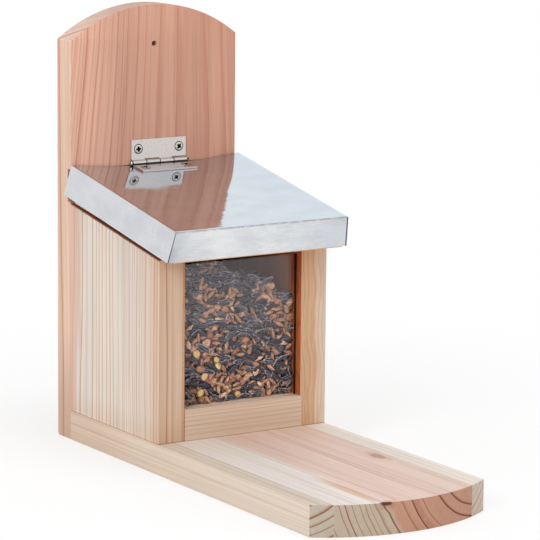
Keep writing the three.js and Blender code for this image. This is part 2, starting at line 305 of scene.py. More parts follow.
def blend(factor, first, second, kind="MIX"):
    sockets = {0: factor, 6: first, 7: second}
    return node(tree_of(factor, first), "Mix", sockets, data_type="RGBA", blend_type=kind)[2]


def between(factor, first, second):
    return node(factor.tree, "Mix", {0: factor, 2: first, 3: second}, data_type="FLOAT")[0]


def split(vector):
    parts = node(vector.tree, "SeparateXYZ", {0: vector})
    return parts["X"], parts["Y"], parts["Z"]


def join(x, y=0.0, z=0.0):
    return node(tree_of(x, y, z), "CombineXYZ", {"X": x, "Y": y, "Z": z})[0]


def length(vector):
    return node(vector.tree, "VectorMath", {0: vector}, operation="LENGTH")["Value"]


def dot(first, second):
    return node(first.tree, "VectorMath", {0: first, 1: second}, operation="DOT_PRODUCT")["Value"]


def grain(place, scale, detail, shift=None, gives="Fac"):
    if is_wide(scale):
        place, scale = place * scale, 1.0
    sockets = {"Vector": place, "Scale": scale, "Detail": detail}
    if shift is None:
        return node(place.tree, "TexNoise", sockets)[gives]
    return node(place.tree, "TexNoise", sockets | {"W": shift}, noise_dimensions="4D")[gives]


def bump(height, strength, distance, sockets=None, **settings):
    sockets = {"Height": height, "Strength": strength, "Distance": distance} | (sockets or {})
    return node(height.tree, "Bump", sockets, **settings)[0]


def tint(red, green, blue):
    shares = (red / 255, green / 255, blue / 255)
    return (*[v / 12.92 if v <= 0.04045 else ((v + 0.055) / 1.055) ** 2.4 for v in shares], 1.0)


WHITE = (1.0, 1.0, 1.0, 1.0)


# %% [markdown]
# A finish is a material, and it starts from Blender's own Principled shader. Where several materials share
# a long chain of nodes, the chain goes into a group. The kind of each input of a group shows in what it is
# given: a number, a colour, or the bare name of a kind that has no value yet.


# %% Start a finish or a group
def finish(name, sockets=None):
    material = bpy.data.materials.new(name)
    material.use_nodes = True
    shader = material.node_tree.nodes["Principled BSDF"]
    plug(shader, sockets or {})
    return material, material.node_tree, shader


def group(name, takes, gives):
    tree = bpy.data.node_groups.new(name, "ShaderNodeTree")
    for label, value in takes.items():
        kind = {float: "Float", tuple: "Color"}.get(type(value), value)
        socket = tree.interface.new_socket(label, in_out="INPUT", socket_type="NodeSocket" + kind)
        if kind != value:
            socket.default_value = value
    for label, kind in gives.items():
        tree.interface.new_socket(label, in_out="OUTPUT", socket_type="NodeSocket" + kind)
    return tree, node(tree, "NodeGroupInput")


# %% [markdown]
# ## Studio
# Soft light comes from all round, with a strong lamp on the left, a weak one on the right and one above.
# What the camera, the metal and the window see beyond the floor is plain white, and dimmer overhead.


# %% World
def seen(tree):
    path = node(tree, "LightPath")
    return greater(greater(path["Is Camera Ray"], path["Is Glossy Ray"]), path["Is Transmission Ray"])


AMBIENT, OVERHEAD = 0.62, 0.6
scene.world = bpy.data.worlds.new("Studio")
scene.world.use_nodes = True
sky = scene.world.node_tree
height = split(node(sky, "TexCoord")["Generated"])[2]
strength = between(seen(sky), AMBIENT, rise(height, 0.72, 0.86, 1.0, OVERHEAD))
plug(sky.nodes["Background"], {"Color": WHITE, "Strength": strength})
print("world has", len(sky.nodes), "nodes")

# %% Lamps
middle = (cad_low + cad_high) / 2
lamps = {
    "Left lamp": ((-1.6, -0.9, 1.3), 1.0, 16),
    "Right lamp": ((1.3, -1.5, 0.9), 1.0, 5),
    "Top lamp": ((0.1, -0.3, 1.9), 1.2, 9),
}
for name, (place, size, power) in lamps.items():
    light = bpy.data.lights.new(name, "AREA")
    light.shape = "DISK"
    light.size = size
    light.energy = power
    lamp = add(name, light)
    lamp.location = place
    lamp.rotation_euler = (middle - Vector(place)).to_track_quat("-Z", "Y").to_euler()
    lamp.visible_glossy = name == "Left lamp"
    print(name, place, power, "W")

# %% [markdown]
# The floor is pale paper. Close to the feeder it is matt and takes a soft shadow, and further out it glows
# as white as the background, so that no edge of the floor is seen.

# %% Floor
FLOOR_RADIUS = 4.0
floor = primitive("floor", "circle", vertices=96, radius=FLOOR_RADIUS, fill_type="NGON", location=(0, 0, 0))
floor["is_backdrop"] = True
paper, tree, _ = finish("Pale floor")
tree.nodes.clear()
away = length(node(tree, "TexCoord")["Object"])
share = rise(away, 0.1, 0.55, 0.6, 1.0) * seen(tree)
matt = node(tree, "BsdfDiffuse", {"Color": (0.93, 0.93, 0.93, 1)})[0]
glow = node(tree, "Emission", {"Color": WHITE, "Strength": 1.0})[0]
mixed = node(tree, "MixShader", {0: share, 1: matt, 2: glow})[0]
node(tree, "OutputMaterial", {"Surface": mixed})
dress(floor, paper)
print("floor is", 2 * FLOOR_RADIUS, "m across")

# %% [markdown]
# ## Wood
# Every board is cut from a trunk, so its finish is the trunk itself: growth rings round a pith line. Where
# a board lies in the trunk decides whether a face shows straight lines, broad flames or end-grain arcs, and
# the same finish runs round the board's edges as it does on real timber. A Mapping node in each material
# lays the trunk along the board, and one shared group grows the rings.


# %% The trunk, as a shader group
def grow_trunk():
    takes = {
        "Place": "Vector", "End": 0.0, "Shift": 0.0, "Ring": 0.004, "Wander": 0.002, "Along": 5.0,
        "Line": 0.4, "Depth": 1.0, "End depth": 1.0, "Streak": 0.2, "Fibre": 0.1,
        "Sap": "Color", "Sap line": "Color", "Heart": "Color", "Heart line": "Color", "Heart radius": 0.0,
        "End tint": WHITE, "Heart end tint": WHITE, "Crowd": 0.0,
    }
    tree, given = group("Trunk", takes, {"Color": "Color", "Roughness": "Float", "Height": "Float"})
    trunk, end, shift, line = given["Place"], given["End"], given["Shift"], given["Line"]

    # The rings wander: a slow noise, drawn out along the trunk, moves each point sideways
    slow = grain(trunk, join(28.0, 28.0, given["Along"]), 2.0, shift, "Color")
    place = trunk + (slow - (0.5, 0.5, 0.5)) * given["Wander"]
    radius = length(place * (1, 1, 0))

    # Good and poor years: the ring width changes with the radius, and each ring has its own strength
    years = node(tree, "TexNoise", {"W": radius * 70.0, "Scale": 1.0}, noise_dimensions="1D")[0]
    outside = greater(radius - given["Heart radius"], 0.0)
    count = radius / given["Ring"] + years * 3.0 + outside * given["Crowd"] + shift
    part = maths("FRACT", count)
    year = node(tree, "TexWhiteNoise", {"W": maths("FLOOR", count)}, noise_dimensions="1D")[0]

    # Each line of late wood darkens slowly and ends at once
    late = rise(part, 0.97 - line, 0.95) * 0.4 + rise(part, 0.94 - line * 0.4, 0.94) * 0.6
    late = late * rise(part, 0.955, 1.0, 1.0, 0.0) * rise(year, 0.0, 1.0, 0.35, 1.0)
    late = maths("MULTIPLY", late, between(end, given["Depth"], given["End depth"]), clamp=True)

    # Fine fibres run along the trunk and show as dots on end grain
    thin = grain(trunk, (850.0, 850.0, 16.0), 2.0)
    wide = grain(trunk, (260.0, 260.0, 5.0), 2.0, shift)
    fibre = (thin + wide * 0.8 - 0.9) * given["Fibre"]
    broad = (grain(trunk, (45.0, 45.0, 6.0), 1.0, shift) - 0.5) * 0.22
    drawn = grain(place, (620.0, 620.0, 4.5), 3.0, shift)
    late = greater(late, rise(drawn, 0.5, 0.72) * given["Streak"] * (1.0 - end))

    # The pale sapwood lies outside the heartwood, and a sawn end is tinted on top of both
    heart = rise(given["Heart radius"] - radius, -0.0016, 0.0016)
    sapwood = blend(late, given["Sap"], given["Sap line"])
    heartwood = blend(late, given["Heart"], given["Heart line"])
    end_tint = blend(heart, given["End tint"], given["Heart end tint"])
    colour = blend(end, blend(heart, sapwood, heartwood), end_tint, "MULTIPLY")
    rough = 0.6 + end * 0.15 - late * 0.08
    colour = colour * (1.0 + fibre + broad)
    height = thin * 0.6 + late * 0.5
    node(tree, "NodeGroupOutput", {"Color": colour, "Roughness": rough, "Height": height})
    return tree


trunk = grow_trunk()
print("trunk group has", len(trunk.nodes), "nodes")

# %% [markdown]
# A knot is where a branch grew out of the trunk: a dark oval core, and rings that bend round it. The group
# gives back one mask for the core and a wider one, the halo, that says how far the rings are pushed aside.
# The shelf's middle stave uses it three times: for a faint knot, a dark one and a long stain.


# %% A knot, as a shader group
def grow_knot():
    takes = {"Place": "Vector", "Middle": "Vector", "Size": "Vector"}
    tree, given = group("Knot", takes, {"Core": "Float", "Halo": "Float"})
    rough = grain(given["Place"], 350.0, 2.0)
    away = length((given["Place"] - given["Middle"]) / given["Size"]) + (rough - 0.5) * 0.7
    masks = {"Core": rise(away, 0.65, 1.1, 1.0, 0.0), "Halo": rise(away, 0.6, 2.6, 1.0, 0.0)}
    node(tree, "NodeGroupOutput", masks)
    return tree


knot = grow_knot()
print("knot group has", len(knot.nodes), "nodes")

# %% [markdown]
# The back board's lines fan out towards the foot. On its face each point slides sideways before it is laid
# in the trunk, the more the further it lies from the fan's middle line and from the height where the fan
# closes. Knots push the point along the board, and they leave a mask for their core and one for their halo.


# %% Fan and knots
KNOT_PUSH = 4 * MM


def fan_out(spot, normal, middle, closes, spread):
    x, _, z = split(spot)
    on_face = maths("SUBTRACT", 1.0, abs(split(normal)[0]), clamp=True)
    return spot + join((x - middle * MM) * (spread / MM) * (z - closes * MM) * on_face)


def bend_round(spot, knots):
    cores = halos = 0.0
    for middle_mm, size_mm, dark in knots:
        sockets = {"Place": spot, "Middle": Vector(middle_mm) * MM, "Size": Vector(size_mm) * MM}
        found = node(spot.tree, "Group", sockets, node_tree=knot)
        spot = spot + (0, 0, KNOT_PUSH if dark else 0) * found["Halo"]
        cores = greater(found["Core"] * dark, cores)
        halos = greater(found["Halo"] * (0.3 if dark else 0.75), halos)
    return spot, cores, halos


# %% [markdown]
# Each board's finish says which way its grain runs, where the pith would lie, how wide the rings are and
# which colours the wood has. The pith is given in the frame's millimetres, often well outside the board.
# A shade darkens or tints the wood between two places along an axis, or on the faces that look one way;
# the shades on faces that look one way are painted light and shade. The last number of a shade, where it
# has one, says by how many millimetres its edge is torn.

# %% Wood finish
GRAIN_TURN = {"X": (0, -90, 0), "Y": (90, 0, 0), "Z": (0, 0, 0)}
GRAIN_AXIS = {"X": (1, 0, 0), "Y": (0, 1, 0), "Z": (0, 0, 1)}
PANEL_SLOPE = math.radians(10.1)
DIRECTION = GRAIN_AXIS | {"slope": (0, -math.sin(PANEL_SLOPE), math.cos(PANEL_SLOPE))}
# Tints keyed to the way a face looks are painted light and shade on one side of a board
PAINTED_LIGHT_FACING = {"front": (0, -1, 0), "left": (-1, 0, 0), "top": (0, 0, 1)}
PLAIN = {"heart": (214, 168, 143), "heart_line": (190, 122, 98)}


def shade_wood(colour, place, normal, shades):
    ragged = grain(place, 900.0, 3.0)
    for axis, start, end, shade, *tear in shades:
        unit = 1.0 if axis in PAINTED_LIGHT_FACING else MM
        along = dot(normal, PAINTED_LIGHT_FACING[axis]) if axis in PAINTED_LIGHT_FACING else dot(place, DIRECTION[axis])
        if tear:
            along = along + (ragged - 0.5) * (tear[0] * MM)
        colour = blend(rise(along, start * unit, end * unit), colour, tint(*shade), "MULTIPLY")
    return colour


def wood(name, lengthwise, pith, fan=None, knots=(), shades=(), **values):
    material, tree, shader = finish(name, {"Specular IOR Level": 0.3})
    given = node(tree, "TexCoord")
    place, normal = given["Object"], given["Normal"]
    spot = fan_out(place, normal, *fan) if fan else place
    spot, cores, halos = bend_round(spot, knots)
    turn = Euler([math.radians(angle) for angle in GRAIN_TURN[lengthwise]]).to_matrix()
    laid = {"Vector": spot, "Rotation": turn.to_euler(), "Location": -(turn @ (Vector(pith) * MM))}
    end = rise(abs(dot(normal, GRAIN_AXIS[lengthwise])), 0.45, 0.75)
    sockets = {"Place": node(tree, "Mapping", laid)[0], "End": end}
    for key, value in (PLAIN | values).items():
        sockets[key.replace("_", " ").capitalize()] = tint(*value) if isinstance(value, tuple) else value
    grown = node(tree, "Group", sockets, node_tree=trunk)
    colour = shade_wood(grown["Color"], place, normal, shades)
    if knots:
        colour = blend(halos, colour, tint(234, 186, 152), "MULTIPLY")
        colour = blend(cores, colour, tint(96, 56, 42))
    relief = bump(grown["Height"], 0.35, 0.0002)
    plug(shader, {"Base Color": colour, "Roughness": grown["Roughness"], "Normal": relief})
    return material


# %% Finishes of the back board, the sides and the rail
# Painted shade along the glued joints and at the foot of the sides, where boards meet
JOINT_SHADE = (192, 160, 136)
FOOT_SHADE = ("Z", 18.55, 18.15, JOINT_SHADE)
back_wood = wood(
    "Back board wood", "Z", (26, 200, 0), (24, 215, 0.0013), shift=3.1, ring=0.003, wander=0.0075, along=4.0,
    line=0.45, depth=0.82, end_depth=1.1, streak=0.42, fibre=0.32, end_tint=(250, 272, 284),
    shades=(
        ("X", -57.75, -57.3, (250, 233, 225)), ("X", -52.0, -10.0, (229, 223, 220)),
        ("X", 0.0, 45.0, (248, 244, 242)), ("Z", 80.0, 15.0, (233, 232, 229)),
        # painted light: the left-facing side and the arched top are tinted lighter
        ("left", 0.5, 0.9, (251, 257, 254)), ("top", 0.5, 0.9, (254, 262, 265)),
    ),
    sap=(230, 192, 173), sap_line=(188, 122, 100),
)
side_wood_left = wood(
    "Left side wood", "Z", (82, 185, 0), shift=7.7, ring=0.0025, wander=0.0052, along=4.6,
    line=0.42, streak=0.5, fibre=0.26, heart_radius=0.1518,
    shades=(
        ("X", -57.8, -57.2, (232, 214, 202)), ("Y", 140.0, 60.0, (251, 250, 249)),
        ("Y", 105.0, 125.0, (251, 251, 251)), ("Y", 62.0, 34.0, (250, 239, 231)),
        ("Z", 36.0, 20.0, (251, 245, 238)), FOOT_SHADE, ("Y", 39.0, 31.0, (252, 238, 228)),
        # the band below the sloped top is painted dark brown: partly the rough sawn edge, partly painted
        # shadow under the lid's flange
        ("X", -41.4, -40.3, (238, 206, 176), 1.8), ("slope", 119.3, 119.7, (190, 138, 108), 1.4),
        # painted light: faces looking to the front are lifted lighter
        ("front", 0.5, 0.9, (271, 297, 312)),
    ),
    sap=(225, 215, 204), sap_line=(196, 142, 104), heart=(222, 188, 170), heart_line=(196, 142, 116),
)
side_wood_right = wood(
    "Right side wood", "Z", (-60, 62, 0), shift=1.4, ring=0.0023, wander=0.016, along=17.0,
    line=0.5, streak=0.45, fibre=0.28, heart_radius=0.1165,
    shades=(
        # the inner face is painted darker and redder: partly redder wood, partly painted shade under the
        # lid; left-facing faces get painted shade
        ("X", 40.5, 40.25, (224, 160, 122)), ("left", 0.5, 0.9, (254, 250, 246)),
        ("Z", 90.0, 125.0, (250, 243, 236)), FOOT_SHADE,
    ),
    sap=(221, 198, 177), sap_line=(200, 155, 121), heart=(210, 174, 140), heart_line=(182, 114, 72),
)
rail_wood = wood(
    "Rail wood", "X", (0, 80, 190), shift=5.2, ring=0.0024, wander=0.003, along=3.0, streak=0.3, fibre=0.2,
    # painted shade where the rail meets the shelf and the left side
    shades=(("Z", 18.5, 18.1, JOINT_SHADE), ("X", -39.6, -39.95, JOINT_SHADE)),
    sap=(215, 192, 170), sap_line=(196, 154, 130),
)
print("wood finishes:", sum(material.name.endswith("wood") for material in bpy.data.materials))

# %% Finishes of the shelf and the lid board
FAINT_KNOT = ((37.9, -57, 19), (3.6, 8, 4.2), 0.4)
END_KNOT = ((-19.5, -149.6, 18.5), (4.4, 3.0, 2.9), 1.0)
LONG_STAIN = ((-21.5, -118, 18), (1.9, 20, 1.6), 0.0)
shelf_wood_left = wood(
    "Left stave wood", "Y", (-71, 0, 40), shift=2.2, ring=0.0044, wander=0.0022, along=3.0,
    line=0.34, depth=0.42, end_depth=3.1, streak=0.28, fibre=0.24, end_tint=(210, 209, 203),
    shades=(
        # painted light and shade: the left side and the top are tinted by the way they face
        ("left", 0.5, 0.9, (249, 248, 246)), ("top", 0.5, 0.9, (238, 240, 240)),
        ("Y", -90.0, 30.0, (251, 247, 243)), ("Y", 50.0, 110.0, (251, 244, 239)),
    ),
    sap=(227, 213, 199), sap_line=(178, 127, 93),
)
shelf_wood_middle = wood(
    "Middle stave wood", "Y", (50, 0, 42), shift=9.3, ring=0.0082, wander=0.0034, along=3.0,
    line=0.34, depth=0.36, end_depth=1.52, streak=0.3, fibre=0.2, heart_radius=0.0716, crowd=150.0,
    end_tint=(211, 197, 180), heart_end_tint=(218, 186, 166), knots=(FAINT_KNOT, END_KNOT, LONG_STAIN),
    shades=(("Y", -80.0, 30.0, (251, 247, 242)),),
    sap=(224, 217, 211), sap_line=(156, 102, 70), heart=(219, 195, 183), heart_line=(144, 86, 66),
)
shelf_wood_right = wood(
    "Right stave wood", "Y", (5, 0, 65), shift=4.4, ring=0.0036, wander=0.003, along=3.0,
    line=0.3, depth=0.4, end_depth=1.8, streak=0.3, fibre=0.16, end_tint=(226, 218, 210),
    sap=(226, 217, 207), sap_line=(190, 150, 120),
)
lid_wood = wood(
    "Lid board wood", "X", (0, 60, 60), shift=6.1, ring=0.0036, wander=0.003, along=3.0,
    depth=0.9, streak=0.3, fibre=0.14, sap=(238, 200, 160), sap_line=(200, 148, 106),
)
print("wood finishes:", sum(material.name.endswith("wood") for material in bpy.data.materials))

# %% [markdown]
# ## Boards
# A sawn and planed board has its long edges broken with a stroke of sandpaper, so they catch a thin line of
# light. The frame's boards have perfectly sharp edges. Each is copied, its triangles are merged into flat
# faces, and its outer edges get a small bevel. Edges in a glued joint stay sharp, as they do on real work,
# and the back board's lower rear edge is worn rounder.

# %% Round the edges of a board
BROKEN_EDGE, WORN_EDGE = 0.35 * MM, 1.6 * MM
FLAT_ANGLE, EDGE_ANGLE, SHORTEST_EDGE = math.radians(0.6), math.radians(30), 2.2 * MM
WELD = 0.001 * MM


def bevel(width, segments, **settings):
    bpy.ops.mesh.bevel(offset=width, segments=segments, profile=0.5, affect="EDGES", **settings)


def board(node_name, body, material, broken=BROKEN_EDGE, sharp=lambda spot: False, worn=None):
    name = node_name + "_planed"
    piece = add(name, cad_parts[node_name].data.copy())
    piece.data.name = name
    edit(piece, "VERT", selected=True)
    bpy.ops.mesh.remove_doubles(threshold=WELD)
    bpy.ops.mesh.dissolve_limited(angle_limit=FLAT_ANGLE)
    pick_kind("EDGE")
    if worn:
        pick(piece, "edges", lambda edge: all(worn(vertex.co) for vertex in edge.verts))
        bevel(WORN_EDGE, 4, clamp_overlap=True)
        pick_kind("EDGE")

    def outer(edge):
        if len(edge.link_faces) != 2 or edge.calc_face_angle(0) < EDGE_ANGLE:
            return False
        return not sharp((edge.verts[0].co + edge.verts[1].co) / 2) and edge.calc_length() > SHORTEST_EDGE

    count = pick(piece, "edges", outer)
    bevel(broken, 2, clamp_overlap=True)
    done()
    smooth(piece, 25)
    ride_as(piece, body, (node_name,), material)
    print(name, "has", count, "broken edges and", len(piece.data.polygons), "faces")


# %% Plane the boards
LEFT_JOINT, RIGHT_JOINT, GLUE_REACH = -46.6 * MM, 44.3 * MM, 0.2 * MM
REAR_Y = 150.7 * MM


def in_glue(spot):
    return min(abs(spot.x - LEFT_JOINT), abs(spot.x - RIGHT_JOINT)) < GLUE_REACH


def low_and_rear(spot):
    return spot.z < 0.1 * MM and spot.y > REAR_Y - 0.1 * MM


board("back_board", "feeder", back_wood, worn=low_and_rear)
board("side_panel_left", "feeder", side_wood_left, 0.3 * MM)
board("side_panel_right", "feeder", side_wood_right, 0.3 * MM)
board("front_rail", "feeder", rail_wood, 0.2 * MM)
board("shelf_stave_left", "feeder", shelf_wood_left, sharp=in_glue)
board("shelf_stave_middle", "feeder", shelf_wood_middle, sharp=in_glue)
board("shelf_stave_right", "feeder", shelf_wood_right, sharp=in_glue)
board("lid_board", "lid", lid_wood, 0.4 * MM)

# %% [markdown]
# ## Sheet metal
# The lid is clad in thin bright sheet. Its rolled face mirrors the back board at a low angle and looks pale
# and satin when it is seen square on. One group gives the marks that rolling and handling leave, and painted
# light and shade: the top, the sides and the front each get their own colour, and the front flange has
# painted shade at its right and painted seam shadow at its two ends. The front flange is dull near its left
# corner, and its fold is rubbed in places. Rolling also leaves fine ridges along the sheet, which throw
# mirrored edges from side to side. All places are in metres along the sheet's folds, from the feeder's
# middle line and the sheet's rear edge.


# %% Rolled sheet, as a shader group
def roll_sheet():
    gives = {"Color": "Color", "Roughness": "Float", "Height": "Float", "Lean": "Color"}
    tree, given = group("Rolled sheet", {"Place": "Vector", "Facing": "Vector"}, gives)
    place = given["Place"]
    x, y, z = split(place)
    _, facing_y, facing_z = split(given["Facing"])
    top = rise(facing_z, 0.75, 0.95)
    front = rise(facing_y, -0.6, -0.9)

    # Clouds of spangle and short rolling strokes
    cloud = grain(place, (45, 70, 110), 4.0)
    stroke = grain(place, (160, 700, 900), 3.0)
    speck = grain(place, (1300, 1300, 1300), 2.0)
    mark = rise(cloud * 0.55 + stroke * 0.25 + speck * 0.2, 0.36, 0.62)
    # Each way the sheet faces gets its own colour: painted light and shade for how each face catches the
    # light
    painted_top = blend(mark, tint(199, 210, 220), tint(209, 219, 229))
    painted_side = blend(mark, tint(208, 209, 214), tint(217, 218, 222))
    painted_front = blend(mark, tint(212, 215, 218), tint(230, 232, 234))
    colour = blend(front, blend(top, painted_side, painted_top), painted_front)

    # Dull corner, painted shade at the right, painted seam shadow at both ends, line beside left fold,
    # rubbed fold
    wear = grain(place, (260, 260, 260), 3.0)
    fold = rise(abs(y + 0.1250), 0.0001, 0.0006, 1.0, 0.0) * rise(z, -0.0012, -0.0006)
    fold = fold * rise(wear, 0.35, 0.6, 0.3, 1.0)
    coats = (
        (rise(x, -0.045, -0.0605) * front * rise(cloud, 0.3, 0.62, 0.25, 1.0), (182, 188, 194), "MIX"),
        # painted shade: the front flange darkens towards its right
        (rise(x, 0.005, 0.055) * front, (234, 235, 239), "MULTIPLY"),
        # painted seam shadow: dark lines at the right and left ends of the front flange
        (rise(x + z * 0.0601, 0.0590, 0.0597) * front, (78, 80, 84), "MIX"),
        (rise(x + z * -0.1749, -0.0572, -0.0577) * front, (84, 88, 92), "MIX"),
        (rise(abs(x + 0.0569), 0.0001, 0.0004, 0.6, 0.0) * top, (128, 130, 134), "MIX"),
        (fold * 0.7, (160, 158, 158), "MIX"),
    )
    for mask, shade, kind in coats:
        colour = blend(mask, colour, tint(*shade), kind)

    # The top is polished and the flanges are satin; ripples and ridges bend what the top mirrors
    rough = between(top, rise(mark, 0, 1, 0.34, 0.26), rise(mark, 0, 1, 0.05, 0.085))
    rough = greater(rough, fold * 0.5)
    height = grain(place, (70, 420, 420), 1.0) * 0.12 + grain(place, (14, 14, 14), 0.0) * 2.0
    sway = (grain(place, (35, 520, 35), 3.0) - 0.5) * (top * rise(y, -0.02, -0.075, 0.01, 0.13))
    found = {"Color": colour, "Roughness": rough, "Height": height, "Lean": (1, 0, 0) * sway}
    node(tree, "NodeGroupOutput", found)
    return tree


rolled = roll_sheet()
print("sheet group has", len(rolled.nodes), "nodes")


# %% [markdown]
# The hinge and its screws are nickel plate, and the hidden wood screws are plated steel. Fine wear changes
# their colour and gloss a little, and the faces that were written down for painted shade turn nearly black.


# %% Plated metal
def metal(name, base, rough, dark=None):
    material, tree, shader = finish(name, {"Metallic": 1.0})
    wear = grain(node(tree, "TexCoord")["Object"], 900.0, 3.0)
    colour = blend(rise(wear, 0.4, 0.75), tint(*base), tint(*[v * 0.96 for v in base]))
    # Painted shade: faces written down as shaded turn to the dark colour, nearly black
    if dark:
        painted_shade = node(tree, "Attribute", attribute_name="painted_shade")["Fac"]
        colour = blend(rise(painted_shade, 0.1, 0.9), colour, tint(*dark))
    plug(shader, {"Base Color": colour, "Roughness": rise(wear, 0.3, 0.8, rough, rough + 0.08)})
    return material


hinge_metal = metal("Nickel plate", (214, 207, 204), 0.18, dark=(40, 33, 28))
screw_metal = metal("Nickel screw", (214, 208, 202), 0.18, dark=(30, 26, 22))
steel = metal("Plated steel screw", (196, 192, 184), 0.3)
print("metals:", hinge_metal.name, screw_metal.name, steel.name)

# %% [markdown]
# The lid has two sets of axes. The board's axes lie where the hinge presses the sheet flat onto the board,
# and the folds' axes lie on the sheet's folds. The folds stand a little above the board at the rear and
# meet it at the front, so they slope more steeply than the board does.

# %% The lid's axes
FOLD_SLOPE = math.radians(10.6)
SHEET_LENGTH, SHEET_THICKNESS, SHEET_DIP = 125.3 * MM, 0.6 * MM, 3.2 * MM
BOARD_TILT = math.atan2(SHEET_DIP, SHEET_LENGTH)
BOARD_SLOPE = FOLD_SLOPE - BOARD_TILT
PAD_REAR_Y, PAD_REAR_Z = 133.739 * MM, 165.924 * MM
lid_place = Matrix.Translation((0, PAD_REAR_Y, PAD_REAR_Z)) @ Matrix.Rotation(BOARD_SLOPE, 4, "X")
fold_place = lid_place @ Matrix.Rotation(BOARD_TILT, 4, "X") @ Matrix.Translation((0, 0, SHEET_DIP))
print("board slopes by", round(math.degrees(BOARD_SLOPE), 2), "degrees, folds by 10.6")

# %% [markdown]
# The hinge draws the sheet down at the rear, so a pad under it lies flat on the board and the sheet rises
# from the pad to the folds at both sides. The rise is slightly bowed, and the pad's edge is rounded, as
# thin sheet doesn't crease there.

# %% How far the sheet is drawn down
LID_OFFSET, FOLD_X = 1.2 * MM, 59.1 * MM
LEFT_FOLD, RIGHT_FOLD = LID_OFFSET - FOLD_X, LID_OFFSET + FOLD_X
PAD_LEFT, PAD_RIGHT = -18.3 * MM, 24.1 * MM
PAD_ROUND, SIDE_BOW = 0.22, 0.07


def dip(x, y):
    left = (x - LEFT_FOLD) / (PAD_LEFT - LEFT_FOLD)
    right = (RIGHT_FOLD - x) / (RIGHT_FOLD - PAD_RIGHT)
    side = max(left if x < 0 else right, 0.0)
    rounding = min(max(side - 1 + PAD_ROUND, 0.0), 2 * PAD_ROUND)
    side = min(side, 1 + PAD_ROUND) - rounding**2 / (4 * PAD_ROUND)
    side += SIDE_BOW * math.sin(math.pi * side)
    return SHEET_DIP * min(side, 1.0) * (1 + y / SHEET_LENGTH)


print("dip under the pin", round(dip(0, 0) / MM, 2), "mm")

# %% [markdown]
# The sheet starts as a fine grid the size of the lid, with the dip pressed in. The two side borders and the
# front border are extruded into flanges, the folds are rounded with a bevel, and Solidify gives the sheet
# its thickness on the inside. The corners are cut, so a thin seam is left open.

# %% Press the grid and fold the flanges
FLANGE_DEPTH, SEAM, FOLD_RADIUS = 18.3 * MM, 0.3 * MM, 0.45 * MM
SPLAY_LEFT, SPLAY_RIGHT = 3.5 * MM, 1.1 * MM
lid_sheet = primitive("lid_sheet_folded", "grid", x_subdivisions=48, y_subdivisions=48, size=1)
put(lid_sheet, (LID_OFFSET, -SHEET_LENGTH / 2, 0), size=(2 * FOLD_X, SHEET_LENGTH, 1))
for vertex in lid_sheet.data.vertices:
    vertex.co.z = -dip(vertex.co.x, vertex.co.y)
edit(lid_sheet, "EDGE")


def on_border(edge, axis, value):
    return all(abs(vertex.co[axis] - value) < WELD and vertex.co.z > -0.1 * MM for vertex in edge.verts)


folds = (
    (0, LEFT_FOLD, (-SPLAY_LEFT, 0, -FLANGE_DEPTH)),
    (0, RIGHT_FOLD, (SPLAY_RIGHT, 0, -FLANGE_DEPTH)),
    (1, -SHEET_LENGTH, (0, 0, -FLANGE_DEPTH)),
)
for axis, value, push in folds:
    pick_kind("EDGE")
    count = pick(lid_sheet, "edges", lambda edge: edge.is_boundary and on_border(edge, axis, value))
    extrude(*push)
    print("flange of", count, "segments")

# %% Cut the corners, round the folds and give the sheet its thickness
pick_kind("VERT")
shape = bmesh.from_edit_mesh(lid_sheet.data)
for vertex in shape.verts:
    low = vertex.co.z < -FLANGE_DEPTH / 2
    reach = (vertex.co.x - LID_OFFSET) / FOLD_X
    if low and abs(vertex.co.y + SHEET_LENGTH) < WELD and abs(reach) < 1 + 1e-6:
        splay = SPLAY_RIGHT if reach > 0 else SPLAY_LEFT
        vertex.co.x += reach * (splay - SEAM)
bmesh.update_edit_mesh(lid_sheet.data)


def folded(edge):
    return len(edge.link_faces) == 2 and any(on_border(edge, axis, value) for axis, value, _ in folds)


pick_kind("EDGE")
count = pick(lid_sheet, "edges", folded)
bevel(FOLD_RADIUS, 2)
pick_kind("EDGE", selected=True)
bpy.ops.mesh.normals_make_consistent(inside=False)
done()
apply_modifier(lid_sheet, "Thickness", "SOLIDIFY", thickness=SHEET_THICKNESS, offset=-1)
lid_sheet.data.transform(fold_place)
smooth(lid_sheet, 40)
print("lid sheet has", len(lid_sheet.data.polygons), "faces and", count, "fold edges")

# %% [markdown]
# The sheet's marks follow the folds' axes, so the material first turns the object's coordinates onto them.
# The ridges lean the normal sideways, and the ripples are added to it as a bump.


# %% Finish of the sheet
def bright_sheet():
    material, tree, shader = finish("Bright sheet", {"Metallic": 1.0})
    from_fold = fold_place.inverted()
    turn = from_fold.to_euler()
    given = node(tree, "TexCoord")
    laid = {"Vector": given["Object"], "Location": from_fold.translation, "Rotation": turn}
    place = node(tree, "Mapping", laid)[0]
    facing = node(tree, "Mapping", {"Vector": given["Normal"], "Rotation": turn}, vector_type="VECTOR")[0]
    marks = node(tree, "Group", {"Place": place, "Facing": facing}, node_tree=rolled)
    leaning = node(tree, "VectorMath", {0: given["Normal"] + marks["Lean"]}, operation="NORMALIZE")[0]
    halves = {0: leaning, 1: (0.5, 0.5, 0.5), 2: (0.5, 0.5, 0.5)}
    as_colour = node(tree, "VectorMath", halves, operation="MULTIPLY_ADD")[0]
    leant = node(tree, "NormalMap", {"Color": as_colour}, space="OBJECT")[0]
    waves = bump(marks["Height"], 1.0, 0.00004, {"Normal": leant})
    plug(shader, {"Base Color": marks["Color"], "Roughness": marks["Roughness"], "Normal": waves})
    return material


sheet_metal = bright_sheet()
ride_as(lid_sheet, "lid", ("lid_sheet",), sheet_metal)
print(sheet_metal.name, "has", len(sheet_metal.node_tree.nodes), "nodes")

# %% [markdown]
# ## Butt hinge
# A pressed hinge is one strip of metal for each leaf. Tongues are left at its edge, and each tongue is
# curled round the pin. The same steps make it here: a plate is cut into tongues with bisect, every second
# tongue is extruded to the pin's height, and Spin curls it round the pin's axis.

